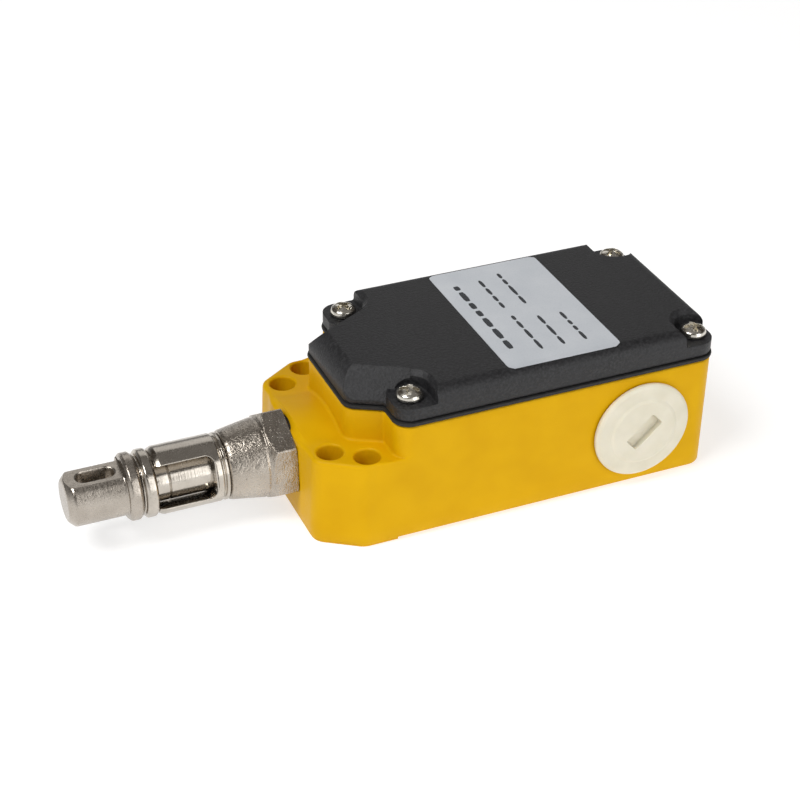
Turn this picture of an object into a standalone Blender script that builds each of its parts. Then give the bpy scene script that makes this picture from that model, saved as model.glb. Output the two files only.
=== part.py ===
"""Rope-pull safety switch: die-cast case lying on its back, moulded cover, pull rod with rope eye.

Metres, +Z up.  X runs along the pull rod (the rope pulls towards -X), the cable entry is on the -Y side
and the cover is on top.  The origin is on the mounting plane, in the middle of the pad under the ears.
"""
import bmesh
import bpy
from math import asin, atan2, cos, pi, radians, sin, sqrt
from mathutils import Matrix, Vector

MM = 0.001
GAP = 0.3               # clearance kept between touching pieces, millimetres like every size below
COLLECTION = "rope_pull_switch"

# ---- case -------------------------------------------------------------------------------------
HALF_W = 28.2           # half the width of the case
X_END = 102.0           # closed end of the case
X_FRONT = -10.5         # front face, where the gland screws in
X_NECK = 1.4            # narrow end of the raised body
X_LUG = 10.1            # front of the screw lugs
BODY_CORNERS = [3.5, 1.2, 4.5, 5.0]     # radii of the raised body's corners, narrow end first
BASE_CORNERS = [5.0, 6.0, 5.0]          # radii of the lower case's corners
NECK_HALF = 14.0        # half width of the narrow end
LUG_HALF = 18.6         # where the slanted side meets the lug
PAD_H = 1.0             # mounting pads under the base
FRONT_PAD_END = 10.6    # the front pad reaches back to here, under both ears
REAR_PAD_X, REAR_PAD_HALF = (86.0, 98.0), 22.0
EAR_Z = 25.0            # top of the mounting ears
CROWN_Z = 27.0          # crown of the nose between the ears
CROWN_HALF = 11.5
RIM_Z = 34.3            # top of the case
WALL = 3.2
FLOOR_Z = 5.0
EAR_HOLES = ((-4.3, 17.5), (3.7, 22.9))
EAR_HOLE_R = 3.4
SCREW_X = (15.3, 97.4)
SCREW_Y = 22.4
TAP_Z = 2.4             # bottom of the tapped holes in the floor
EARTH = (30.0, -17.0)   # the earth terminal's boss, and its height over the floor
EARTH_BOSS_H = 4.0

# ---- cover ------------------------------------------------------------------------------------
GASKET_T = 1.1
GASKET_LIP = 0.4        # how far the gasket stands out all round
COVER_Z0 = RIM_Z + GAP + GASKET_T + GAP
COVER_Z1 = 44.0
SHOULDER = 3.5          # rounding between the cover's top and its sides
LEDGE_Z = 39.7          # floor of the four screw pockets
POCKET_R = 5.3
FACET_RUN = 6.2         # how far each slanted facet leans out
FACET_Z = 37.5          # where the facet meets the upright skirt
LABEL = (41.2, 73.6, 24.3)      # x from, x to, half width
LABEL_T = 0.4
LABEL_RECESS = 0.5
COVER_TOP_T = 2.2       # thickness of the cover's top over its deepest room

# ---- screws -----------------------------------------------------------------------------------
M4_HEAD_R, M4_HEAD_H, M4_R = 3.5, 2.5, 2.0
M3_HEAD_R, M3_HEAD_H, M3_R = 2.8, 1.9, 1.5

# ---- cable entry ------------------------------------------------------------------------------
PLUG_X, PLUG_Z = 80.2, 17.7
PLUG_R, PLUG_T, PLUG_SHANK_R = 14.0, 2.2, 10.0
PLUG_SLOT_ANGLE = radians(43)

# ---- pull rod and gland, all round the axis y = 0, z = AXIS_Z -----------------------------------
AXIS_Z = 15.7
TRAVEL = 6.0            # free pull of the rod
ROD_R, ROD_CORE_R, ROD_THREAD_R = 5.5, 4.0, 3.0
HEX_AF = 22.0
HEX_TURN = radians(-5)  # how far the hexagon stands turned from upright side flats
NUT_AF = 10.0
HEX_X = (-17.0, -10.8)
HEX_CHAMFER = 1.1       # length of the hexagon's turned chamfer at its corners
CONE_X, CONE_R = (-27.9, -18.3), (9.25, 10.9)
SHANK_R, SHANK_END = 8.0, 6.5   # the gland's threaded shank, inside the case
SHOULDER_X = (-17.5, -10.0)     # the gland's counterbore ends at the first, its wide bore at the second
WIPER_X = (-18.7, -17.8)
SLEEVE_X, SLEEVE_R = (-46.6, -27.9), 9.0
WINDOW_X, WINDOW_W, WINDOW_TURN = -31.6, 11.5, radians(-16)
MARK_X = -43.0          # scribed mark round the rod
ROD_STEP_X = (-46.9, -12.0)     # the rod is thick between these
ROD_END_X = (-54.2, 44.5)
RING_X, RING_R = (-50.5, -46.9), 9.0
EYE_X, EYE_R, EYE_FLAT = (-69.5, -50.8), 7.1, 5.9
EYE_SLOT = (-61.0, 9.9, 4.8)    # centre, length, width
SPRING_X = (7.0, 35.0)
SEAT_X, SEAT_R = (35.3, 37.3), 8.8
NUT_X = (37.6, 42.2)

# ---- contact block ----------------------------------------------------------------------------
TRAY = (48.0, 90.0, 17.0)       # x from, x to, half width
TRAY_Z = (5.3, 21.0)
TRAY_HALF_IN = 9.5
CARRIER_X = (57.5, 73.5)
BRIDGE_X = (59.5, 70.0)         # -X faces of the two bridges
BRIDGE_T = 1.0
TERMINAL_T = 1.2
TERMINALS = ((58.0, -12.6), (66.4, -12.6), (58.0, 12.6), (66.4, 12.6))
TERMINAL_DEPTH = 10.5           # height at which the terminal screws' holes end
BLOCK_SCREWS = ((51.2, 13.3), (83.0, -13.3))
STEM_R, SPIGOT_R = 2.5, 1.8     # the carrier's pins, towards the rod and inside its spring

STEPS = 28              # sides of a large round piece


# =================================================================================================
# helpers
# =================================================================================================
def clear_scene():
    """Remove what the start-up file holds."""
    for obj in list(bpy.data.objects):
        bpy.data.objects.remove(obj, do_unlink=True)


def new_collection(name):
    found = bpy.data.collections.new(name)
    bpy.context.scene.collection.children.link(found)
    return found


def material(name, colour, roughness, metallic=0.0):
    """One Principled material from a linear colour."""
    made = bpy.data.materials.new(name)
    made.use_nodes = True
    shader = made.node_tree.nodes["Principled BSDF"]
    shader.inputs["Base Color"].default_value = (*colour, 1.0)
    shader.inputs["Roughness"].default_value = roughness
    shader.inputs["Metallic"].default_value = metallic
    return made


def add(name, mesh, group, surface=None, smooth=False):
    """Wrap a mesh in an object, in its collection and with its material."""
    obj = bpy.data.objects.new(name, mesh)
    group.objects.link(obj)
    if surface is not None:
        mesh.materials.clear()
        mesh.materials.append(surface)
    if smooth:
        mesh.shade_smooth()
        mesh.set_sharp_from_angle(angle=radians(35))
    if group is CUTTERS:
        obj.hide_render = True
        obj.display_type = "WIRE"
    return obj


def baked(obj, name):
    """The evaluated mesh of an object in world space, with its doubles merged; the object goes."""
    bpy.context.view_layer.update()
    mesh = bpy.data.meshes.new_from_object(obj.evaluated_get(bpy.context.evaluated_depsgraph_get()))
    mesh.transform(obj.matrix_world)
    mesh.name = name
    work = bmesh.new()
    work.from_mesh(mesh)
    bmesh.ops.remove_doubles(work, verts=work.verts, dist=1e-6)
    bmesh.ops.recalc_face_normals(work, faces=work.faces)
    work.to_mesh(mesh)
    work.free()
    bpy.data.objects.remove(obj, do_unlink=True)
    return mesh


def rounded(points, radii, steps=5):
    """Closed outline through the corner points, each corner replaced by an arc of its own radius."""
    outline = []
    for i, (corner, radius) in enumerate(zip(points, radii)):
        here = Vector(corner)
        back = (Vector(points[i - 1]) - here).normalized()
        ahead = (Vector(points[(i + 1) % len(points)]) - here).normalized()
        half = back.angle(ahead) / 2
        if radius <= 0:
            outline.append(tuple(here))
            continue
        start = here + back * (radius / max(1e-6, abs(sin(half) / cos(half))))
        centre = here + (back + ahead).normalized() * (radius / sin(half))
        stop = here + ahead * (start - here).length
        first = atan2(start.y - centre.y, start.x - centre.x)
        turn = atan2(stop.y - centre.y, stop.x - centre.x) - first
        turn = (turn + pi) % (2 * pi) - pi
        for k in range(steps + 1):
            angle = first + turn * k / steps
            outline.append((centre.x + radius * cos(angle), centre.y + radius * sin(angle)))
    return outline


def mirrored(half):
    """Outline corners from the near half (negative y, going round) and their mirror images."""
    return half + [(x, -y) for x, y in reversed(half)]


def prism(name, outline, low, high, plane="XY"):
    """A flat outline with thickness: along Z for plane XY, along X for plane YZ, along Y for XZ."""
    curve = bpy.data.curves.new(name, "CURVE")
    curve.dimensions = "2D"
    curve.fill_mode = "BOTH"
    curve.extrude = (high - low) / 2 * MM
    spline = curve.splines.new("POLY")
    spline.points.add(len(outline) - 1)
    for point, (a, b) in zip(spline.points, outline):
        point.co = (a * MM, b * MM, 0.0, 1.0)
    spline.use_cyclic_u = True
    obj = bpy.data.objects.new(name, curve)
    CUTTERS.objects.link(obj)
    middle = (low + high) / 2 * MM
    axes = {"XY": ((1, 0, 0), (0, 1, 0), (0, 0, 1)), "YZ": ((0, 1, 0), (0, 0, 1), (1, 0, 0)),
            "XZ": ((1, 0, 0), (0, 0, 1), (0, -1, 0))}[plane]
    turn = Matrix(axes).transposed().to_4x4()
    shift = {"XY": (0, 0, middle), "YZ": (middle, 0, 0), "XZ": (0, middle, 0)}[plane]
    obj.matrix_world = Matrix.Translation(shift) @ turn
    return baked(obj, name)


def box(name, x, y, z):
    """A block from its x, y and z limits."""
    bpy.ops.mesh.primitive_cube_add(size=1)
    obj = bpy.context.object
    obj.scale = [(b - a) * MM for a, b in (x, y, z)]
    obj.location = [(a + b) / 2 * MM for a, b in (x, y, z)]
    return baked(obj, name)


def rod(name, radius, start, stop, steps=STEPS):
    """A round bar between two points."""
    a, b = Vector(start) * MM, Vector(stop) * MM
    bpy.ops.mesh.primitive_cylinder_add(vertices=steps, radius=radius * MM, depth=(b - a).length)
    obj = bpy.context.object
    obj.rotation_mode = "QUATERNION"
    obj.rotation_quaternion = (b - a).to_track_quat("Z", "Y")
    obj.location = (a + b) / 2
    return baked(obj, name)


def turned(name, profile, place, direction, steps=STEPS):
    """A turned piece: (radius, height) points run from the top down the outer side; a closed loop of
    points makes a ring.  The heights are measured from place along direction."""
    mesh = bpy.data.meshes.new(name)
    work = bmesh.new()
    verts = [work.verts.new((radius * MM, 0, height * MM)) for radius, height in profile]
    pairs = list(zip(verts, verts[1:]))
    if profile[0][0] > 0 and profile[-1][0] > 0:
        pairs.append((verts[-1], verts[0]))
    for a, b in pairs:
        work.edges.new((a, b))
    work.to_mesh(mesh)
    work.free()
    obj = bpy.data.objects.new(name, mesh)
    CUTTERS.objects.link(obj)
    screw = obj.modifiers.new("Screw", "SCREW")
    screw.axis = "Z"
    screw.steps = screw.render_steps = steps
    screw.use_merge_vertices = True
    screw.merge_threshold = 0.00001
    obj.rotation_mode = "QUATERNION"
    obj.rotation_quaternion = Vector(direction).to_track_quat("Z", "Y")
    obj.location = Vector(place) * MM
    return baked(obj, name)


def combine(mesh, others, operation):
    """Exact Boolean of a mesh with several others, one after the other."""
    for other in others:
        base = bpy.data.objects.new("base", mesh)
        tool = bpy.data.objects.new("tool", other)
        CUTTERS.objects.link(base)
        CUTTERS.objects.link(tool)
        cut = base.modifiers.new("Boolean", "BOOLEAN")
        cut.operation = operation
        cut.object = tool
        name = mesh.name
        mesh = baked(base, name)
        bpy.data.objects.remove(tool, do_unlink=True)
    return mesh


def cut(mesh, *others):
    return combine(mesh, others, "DIFFERENCE")


def join(mesh, *others):
    return combine(mesh, others, "UNION")


def bevelled(mesh, width, segments, chosen):
    """Round the edges that chosen(edge) picks; the mesh is in world space."""
    work = bmesh.new()
    work.from_mesh(mesh)
    bmesh.ops.dissolve_limit(work, angle_limit=radians(0.5), verts=work.verts, edges=work.edges)
    edges = [edge for edge in work.edges if chosen(edge)]
    bmesh.ops.bevel(work, geom=edges, offset=width * MM, segments=segments, profile=0.5,
                    affect="EDGES", clamp_overlap=True)
    work.to_mesh(mesh)
    work.free()
    return mesh


def level_edge(height):
    """Picks the sharp edges that lie at one height."""
    def test(edge):
        level = all(abs(v.co.z - height * MM) < 1e-5 for v in edge.verts)
        return level and len(edge.link_faces) == 2 and edge.calc_face_angle(0) > radians(30)
    return test


def on_axis(name, profile, steps=STEPS):
    """A piece turned about the rod's axis; the profile's heights are world x."""
    return turned(name, profile, (0, 0, AXIS_Z), (1, 0, 0), steps)


def tube(inner, outer, low, high):
    """Profile of a plain ring."""
    return [(inner, high), (outer, high), (outer, low), (inner, low)]


def pan_head(radius, height):
    """Profile of a pan head over z = 0: a domed top, a short upright side."""
    crown = [(radius * 0.86 * sin(k * pi / 8), height * (0.55 + 0.45 * cos(k * pi / 8))) for k in range(4)]
    return crown + [(radius * 0.93, height * 0.52), (radius, height * 0.3), (radius, 0.0)]


def screw_piece(name, x, y, seat, head_r, head_h, shank_r, length, turn):
    """A cross-recessed pan-head screw standing in a hole, its head on the seat."""
    profile = pan_head(head_r, head_h) + [(shank_r, 0.0), (shank_r, -length + 0.6), (0.0, -length)]
    profile[0] = (0.0, profile[0][1])
    mesh = turned(name, profile, (x, y, seat + GAP), (0, 0, 1), 16)
    slots = []
    for k in range(2):
        slot = box("recess", (-head_r * 0.62, head_r * 0.62), (-0.45, 0.45), (head_h * 0.35, head_h * 2))
        slot.transform(Matrix.Translation((x * MM, y * MM, (seat + GAP) * MM))
                       @ Matrix.Rotation(turn + k * pi / 2, 4, "Z"))
        slots.append(slot)
    return add(name, cut(mesh, join(slots[0], slots[1])), PARTS, STEEL, smooth=True)


# =================================================================================================
# outlines
# =================================================================================================
def body_outline(grow=0.0):
    """Outline of the raised body, its gasket and the cover, seen from above."""
    half = [(X_NECK - grow, -NECK_HALF - grow), (X_LUG - grow, -LUG_HALF - grow),
            (X_LUG - grow, -HALF_W - grow), (X_END + grow, -HALF_W - grow)]
    return rounded(mirrored(half), BODY_CORNERS + BODY_CORNERS[::-1])


def base_outline(shrink=0.0):
    """Outline of the lower case with its two ears."""
    half = [(X_FRONT + shrink, -20.7 + shrink), (1.0, shrink - HALF_W), (X_END, shrink - HALF_W)]
    return rounded(mirrored(half), BASE_CORNERS + BASE_CORNERS[::-1])


def cavity_outline():
    """Outline of the inside of the case, before the corner bosses are left standing."""
    half = [(X_NECK + WALL + 0.6, -10.8), (X_LUG + WALL, -LUG_HALF + WALL + 0.6),
            (X_LUG + WALL, -HALF_W + WALL), (X_END - WALL, -HALF_W + WALL)]
    return rounded(mirrored(half), [2.0, 0.0, 1.5, 2.5, 2.5, 1.5, 0.0, 2.0], 3)


def screw_places():
    return [(x, side * SCREW_Y) for x in SCREW_X for side in (-1, 1)]


def cavity(low, high):
    """The inside of the case as a solid, with the four screw bosses taken out of it."""
    bosses = [rod("boss", 5.0, (x, y, low - 1), (x, y, high + 1), 24) for x, y in screw_places()]
    return cut(prism("cavity", cavity_outline(), low, high), *bosses)


# =================================================================================================
# case, gasket, cover
# =================================================================================================
def make_housing():
    lower = prism("housing", base_outline(), PAD_H, EAR_Z)
    lower = bevelled(lower, 0.8, 2, level_edge(EAR_Z))
    upper = prism("upper", body_outline(), EAR_Z - 6, RIM_Z)
    swell = (CROWN_HALF ** 2 + (CROWN_Z - EAR_Z) ** 2) / (2 * (CROWN_Z - EAR_Z))
    reach = asin(CROWN_HALF / swell)
    arc = [(swell * sin(reach * k / 5), CROWN_Z - swell + swell * cos(reach * k / 5)) for k in range(-5, 6)]
    foot = [(CROWN_HALF, EAR_Z - 6), (-CROWN_HALF, EAR_Z - 6)]
    nose = prism("nose", arc + foot, X_FRONT + 0.4, X_NECK + 6, "YZ")
    front_pad = cut(prism("front_pad", base_outline(0.4), 0.0, PAD_H + 2),
                    box("behind_pad", (FRONT_PAD_END, X_END + 5), (-40, 40), (-1, PAD_H + 3)))
    rear_pad = box("rear_pad", REAR_PAD_X, (-REAR_PAD_HALF, REAR_PAD_HALF), (0.0, PAD_H + 2))
    body = join(lower, upper, nose, front_pad, rear_pad)

    body = cut(body, cavity(FLOOR_Z, RIM_Z + 5))
    body = join(body, rod("earth_boss", 4.5, (*EARTH, FLOOR_Z - 2), (*EARTH, FLOOR_Z + EARTH_BOSS_H), 24))

    holes = [rod("ear_hole", EAR_HOLE_R, (x, side * y, -5), (x, side * y, RIM_Z + 5), 24)
             for x, y in EAR_HOLES for side in (-1, 1)]
    holes += [rod("tapped", M4_R + GAP, (x, y, 20), (x, y, RIM_Z + 5), 20) for x, y in screw_places()]
    holes += [rod("tapped", M3_R + GAP, (x, y, TAP_Z), (x, y, RIM_Z), 16) for x, y in BLOCK_SCREWS]
    holes.append(rod("tapped", M4_R + GAP, (*EARTH, TAP_Z), (*EARTH, RIM_Z), 20))
    holes.append(rod("gland_thread", SHANK_R + GAP, (X_FRONT - 5, 0, AXIS_Z), (12, 0, AXIS_Z)))
    holes.append(rod("seal_seat", 10.5, (X_FRONT - 5, 0, AXIS_Z), (X_FRONT + 1.6, 0, AXIS_Z)))
    holes.append(rod("entry", PLUG_SHANK_R + GAP, (PLUG_X, -HALF_W - 5, PLUG_Z), (PLUG_X, -20, PLUG_Z)))
    holes.append(rod("entry_seat", 12.8, (PLUG_X, -HALF_W - 5, PLUG_Z), (PLUG_X, -HALF_W + 1.5, PLUG_Z)))
    return add("housing", cut(body, *holes), PARTS, YELLOW, smooth=True)


def make_gasket():
    low = RIM_Z + GAP
    ring = prism("cover_gasket", body_outline(GASKET_LIP), low, low + GASKET_T)
    holes = [rod("hole", M4_R + GAP, (x, y, low - 2), (x, y, low + 4), 20) for x, y in screw_places()]
    return add("cover_gasket", cut(ring, cavity(low - 1, low + GASKET_T + 1), *holes), PARTS, RUBBER)


def facet_cutter(side):
    """A block whose underside is the slanted facet between the narrow end and a screw lug."""
    low_a = Vector((X_NECK + 0.4, side * NECK_HALF, FACET_Z))
    low_b = Vector((X_LUG - 0.9, side * (LUG_HALF - 0.6), FACET_Z))
    along = (low_b - low_a).normalized()
    outward = Vector((-abs(along.y), side * abs(along.x), 0))
    rise = (Vector((0, 0, COVER_Z1 - FACET_Z)) - outward * FACET_RUN).normalized()
    away = along.cross(rise) if along.cross(rise).z > 0 else rise.cross(along)
    block = box("facet", (-16, 9.5), (-30, 30), (0, 30))
    frame = Matrix((along, away.cross(along), away)).transposed().to_4x4()
    block.transform(Matrix.Translation(low_a * MM) @ frame)
    return block


def make_cover():
    body = prism("cover", body_outline(), COVER_Z0, COVER_Z1)
    body = bevelled(body, SHOULDER, 4, level_edge(COVER_Z1))
    body = cut(body, facet_cutter(-1), facet_cutter(1))
    pockets = []
    for x, y in screw_places():
        side = 1 if y > 0 else -1
        round_end = rod("pocket", POCKET_R, (x, y, LEDGE_Z), (x, y, COVER_Z1 + 5))
        mouth = box("mouth", (x - POCKET_R, x + POCKET_R), sorted((y, y + side * 12)),
                    (LEDGE_Z, COVER_Z1 + 5))
        pockets.append(join(round_end, mouth))
    room_top = COVER_Z1 - COVER_TOP_T
    room = join(box("room", (23.5, 89.2), (-24.2, 24.2), (COVER_Z0 - 5, room_top - 1.2)),
                box("room", (13.0, X_END - WALL), (-14.5, 14.5), (COVER_Z0 - 5, room_top)),
                box("room", (6.5, 20.0), (-6.5, 6.5), (COVER_Z0 - 5, room_top - 1.5)))
    x0, x1, half = LABEL
    recess = box("label_recess", (x0 - GAP, x1 + GAP), (-half - GAP, half + GAP),
                 (COVER_Z1 - LABEL_RECESS, COVER_Z1 + 5))
    holes = [rod("hole", M4_R + GAP, (x, y, 20), (x, y, COVER_Z1), 20) for x, y in screw_places()]
    return add("cover", cut(body, *pockets, room, recess, *holes), PARTS, BLACK, smooth=True)


def make_nameplate():
    x0, x1, half = LABEL
    low = COVER_Z1 - LABEL_RECESS + GAP
    outline = rounded([(x0, -half), (x1, -half), (x1, half), (x0, half)], [2, 2, 0.6, 0.6])
    return add("nameplate", prism("nameplate", outline, low, low + LABEL_T), PARTS, SILVER)


# =================================================================================================
# cable entry
# =================================================================================================
def make_cable_entry():
    face = -HALF_W - GAP
    profile = [(0, PLUG_T), (9.2, PLUG_T), (9.8, PLUG_T - 0.4), (13.0, PLUG_T - 0.6), (PLUG_R, 0.8),
               (PLUG_R, 0), (PLUG_SHANK_R, 0), (PLUG_SHANK_R, -8.4), (PLUG_SHANK_R - 1, -9.2), (0, -9.2)]
    plug = turned("cable_entry_plug", profile, (PLUG_X, face, PLUG_Z), (0, -1, 0), 36)
    slot = box("slot", (-5.6, 5.6), (-2.0, 2.0), (PLUG_T - 1.8, PLUG_T + 5))
    slot.transform(Matrix.Translation((PLUG_X * MM, face * MM, PLUG_Z * MM))
                   @ Matrix.Rotation(-PLUG_SLOT_ANGLE, 4, "Y") @ Matrix.Rotation(pi / 2, 4, "X"))
    add("cable_entry_plug", cut(plug, slot), PARTS, NYLON, smooth=True)
    seal = turned("entry_seal", tube(PLUG_SHANK_R + GAP, 12.4, 0, 0.9),
                  (PLUG_X, -HALF_W + 1.2, PLUG_Z), (0, -1, 0), 28)
    add("entry_seal", seal, PARTS, RUBBER, smooth=True)


# =================================================================================================
# gland, window sleeve and pull rod
# =================================================================================================
def hexagon_outline(flats, turn):
    """Corners of a hexagon round the rod's axis, in Y and Z, with two flats upright before the turn."""
    reach = flats / sqrt(3)
    angles = [turn + pi / 6 + k * pi / 3 for k in range(6)]
    return [(reach * cos(angle), AXIS_Z + reach * sin(angle)) for angle in angles]


def make_gland():
    bore, counterbore = ROD_CORE_R + GAP, 7.3
    body = on_axis("gland_body", [
        (bore, SHANK_END), (SHANK_R - 0.6, SHANK_END), (SHANK_R, SHANK_END - 0.8), (SHANK_R, X_FRONT),
        (SHANK_R, HEX_X[1]), (CONE_R[1] - 0.5, HEX_X[1]), (CONE_R[1], HEX_X[1] - 0.5), (CONE_R[1], CONE_X[1]),
        (CONE_R[0], CONE_X[0] + 1.0), (CONE_R[0] - 0.8, CONE_X[0] + 0.2), (counterbore, CONE_X[0] + 0.2),
        (counterbore, SHOULDER_X[0]), (ROD_R + GAP, SHOULDER_X[0]), (ROD_R + GAP, SHOULDER_X[1]),
        (bore, SHOULDER_X[1])])
    hexagon = prism("hexagon", hexagon_outline(HEX_AF, HEX_TURN), *HEX_X, "YZ")
    reach = HEX_AF / sqrt(3)
    low, high = HEX_X
    collar = on_axis("chamfer", [(0, high + 5), (reach + 1, high + 5), (reach + 1, low + HEX_CHAMFER),
                                 (reach, low + HEX_CHAMFER), (HEX_AF / 2, low), (0, low)], 36)
    hollow = on_axis("hollow", [(0, high + 2), (10.0, high + 2), (10.0, low - 2), (0, low - 2)])
    hexagon = cut(combine(hexagon, [collar], "INTERSECT"), hollow)
    add("gland_body", join(hexagon, body), PARTS, NICKEL, smooth=True)
    seal = on_axis("gland_seal", tube(8.4, 10.1, X_FRONT + GAP, X_FRONT + GAP + 0.9))
    add("gland_seal", seal, PARTS, RUBBER, smooth=True)
    wiper = on_axis("rod_wiper", tube(ROD_R + GAP, 7.0, *WIPER_X), 28)
    add("rod_wiper", wiper, PARTS, RUBBER, smooth=True)


def make_window_sleeve():
    bore = ROD_R + GAP
    body = on_axis("window_sleeve", [
        (bore, -19.0), (7.0, -19.0), (7.0, SLEEVE_X[1]), (SLEEVE_R - 0.6, SLEEVE_X[1]), (SLEEVE_R, -28.4),
        (SLEEVE_R, -29.0), (SLEEVE_R - 0.7, -29.3), (SLEEVE_R, -29.9), (SLEEVE_R, SLEEVE_X[0] + 1.1),
        (SLEEVE_R - 0.7, SLEEVE_X[0]), (bore, SLEEVE_X[0])])
    half, back = WINDOW_W / 2, WINDOW_X
    outline = rounded([(SLEEVE_X[0] - 5, -half), (back, -half), (back, half), (SLEEVE_X[0] - 5, half)],
                      [0, 2.0, 2.0, 0])
    window = prism("window", outline, -20, 20, "XZ")
    window.transform(Matrix.Translation((0, 0, AXIS_Z * MM)) @ Matrix.Rotation(WINDOW_TURN, 4, "X"))
    arms = cut(body, window)
    return add("window_sleeve", arms, PARTS, NICKEL, smooth=True)


def slotted_outline(middle, length, width):
    """Outline of a slot with round ends, along the first axis."""
    run, radius = (length - width) / 2, width / 2
    outline = []
    for side in (1, -1):
        for k in range(9):
            angle = pi * k / 8 - pi / 2
            outline.append((middle + side * (run + radius * cos(angle)), side * radius * sin(angle)))
    return outline


def make_shaft():
    step_low, step_high = ROD_STEP_X
    end_low, end_high = ROD_END_X
    thread_end = SPRING_X[1]
    return on_axis("pull_rod", [
        (0, end_high), (ROD_THREAD_R - 0.4, end_high), (ROD_THREAD_R, end_high - 0.6),
        (ROD_THREAD_R, thread_end), (ROD_CORE_R, thread_end), (ROD_CORE_R, step_high), (ROD_R, step_high),
        (ROD_R, MARK_X + 0.3), (ROD_R - 0.4, MARK_X), (ROD_R, MARK_X - 0.3), (ROD_R, step_low),
        (ROD_CORE_R, step_low), (ROD_CORE_R, end_low), (0, end_low)])


def make_lock_ring():
    low, high = RING_X
    bore = ROD_CORE_R + GAP
    return on_axis("lock_ring", [
        (bore, high), (RING_R - 0.5, high), (RING_R, high - 0.6), (RING_R, low + 1.1),
        (RING_R - 0.5, low + 0.5), (7.6, low + 0.5), (7.6, low), (bore, low)])


def make_eye():
    left, right = EYE_X
    bore, collar_r = ROD_CORE_R + GAP, 8.9
    eye = on_axis("rope_eye", [
        (bore, right), (collar_r - 0.6, right), (collar_r, right - 0.7), (collar_r, right - 2.6),
        (collar_r - 0.7, right - 3.5), (EYE_R, right - 3.5), (EYE_R, left + 2.1), (EYE_R - 0.9, left + 0.6),
        (EYE_R - 2.1, left), (0, left), (0, right - 4.0), (bore, right - 4.0)])
    flat = box("flat", (left - 5, right - 3.5), (-20, 20), (AXIS_Z + EYE_FLAT, AXIS_Z + 20))
    slot = prism("eye_slot", slotted_outline(*EYE_SLOT), AXIS_Z - 20, AXIS_Z + 20)
    return cut(eye, flat, slot)


def make_nut():
    nut = prism("rod_nut", hexagon_outline(NUT_AF, 0.0), *NUT_X, "YZ")
    bore = rod("bore", ROD_THREAD_R + GAP, (NUT_X[0] - 5, 0, AXIS_Z), (NUT_X[1] + 5, 0, AXIS_Z), 24)
    return cut(nut, bore)


def make_pull_assembly(pull):
    seat = on_axis("spring_seat", tube(ROD_THREAD_R + GAP, SEAT_R, *SEAT_X))
    meshes = (("pull_rod", make_shaft(), NICKEL), ("lock_ring", make_lock_ring(), NICKEL),
              ("rope_eye", make_eye(), NICKEL), ("spring_seat", seat, STEEL), ("rod_nut", make_nut(), STEEL))
    for name, mesh, surface in meshes:
        ride(add(name, mesh, PARTS, surface, smooth=True), pull)


def ride(piece, empty):
    """Parent a piece to an empty without moving it, its origin on the empty's place."""
    place = empty.matrix_world.translation.copy()
    piece.data.transform(Matrix.Translation(-place))
    piece.parent = empty


def coil(name, start, stop, mean, wire, turns, per_turn=12):
    """A compression spring along X, as a wire of radius wire: its first and last 0.8 turns lie close."""
    curve = bpy.data.curves.new(name, "CURVE")
    curve.dimensions = "3D"
    curve.bevel_depth = wire * MM
    curve.bevel_resolution = 0
    curve.use_fill_caps = True
    count = int(turns * per_turn)
    spline = curve.splines.new("POLY")
    spline.points.add(count)
    closed, close_pitch = 0.8, wire * 2.3
    open_turns = turns - 2 * closed
    run = stop - start - 2 * wire - 2 * closed * close_pitch
    for k, point in enumerate(spline.points):
        done = k / per_turn
        share = min(max(done - closed, 0), open_turns) / open_turns
        ends = (min(done, closed) + max(done - turns + closed, 0)) * close_pitch
        x = start + wire + ends + share * run
        angle = 2 * pi * done
        point.co = (x * MM, mean * MM * cos(angle), (AXIS_Z + mean * sin(angle)) * MM, 1.0)
    obj = bpy.data.objects.new(name, curve)
    CUTTERS.objects.link(obj)
    return add(name, baked(obj, name), PARTS, SPRING, smooth=True)


# =================================================================================================
# contact block
# =================================================================================================
def make_tray():
    x0, x1, half = TRAY
    z0, z1 = TRAY_Z
    holes = [rod("hole", M3_R + GAP, (x, y, z0 - 2), (x, y, z1 + 3), 16) for x, y in BLOCK_SCREWS]
    holes += [rod("hole", M3_R + GAP, (x, y, TERMINAL_DEPTH), (x, y, z1 + 3), 16) for x, y in TERMINALS]
    tray = cut(box("contact_base", (x0, x1), (-half, half), (z0, z1)),
               box("room", (x0 + 3, x1 - 3), (-TRAY_HALF_IN, TRAY_HALF_IN), (z0 + 2.7, z1 + 5)),
               rod("stem_bore", STEM_R + GAP, (x0 - 5, 0, AXIS_Z), (x0 + 8, 0, AXIS_Z), 20), *holes)
    add("contact_base", tray, PARTS, PHENOLIC)
    lid = box("contact_cover", (x0 + 0.6, x1 - 0.6), (-5.5, 5.5), (z1 + GAP, z1 + GAP + 1.5))
    add("contact_cover", lid, PARTS, CLEAR)
    for number, (x, y) in enumerate(BLOCK_SCREWS, 1):
        screw_piece(f"block_screw_{number}", x, y, z1, M3_HEAD_R, M3_HEAD_H, M3_R, 18.0, 0.7 * number)


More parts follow.
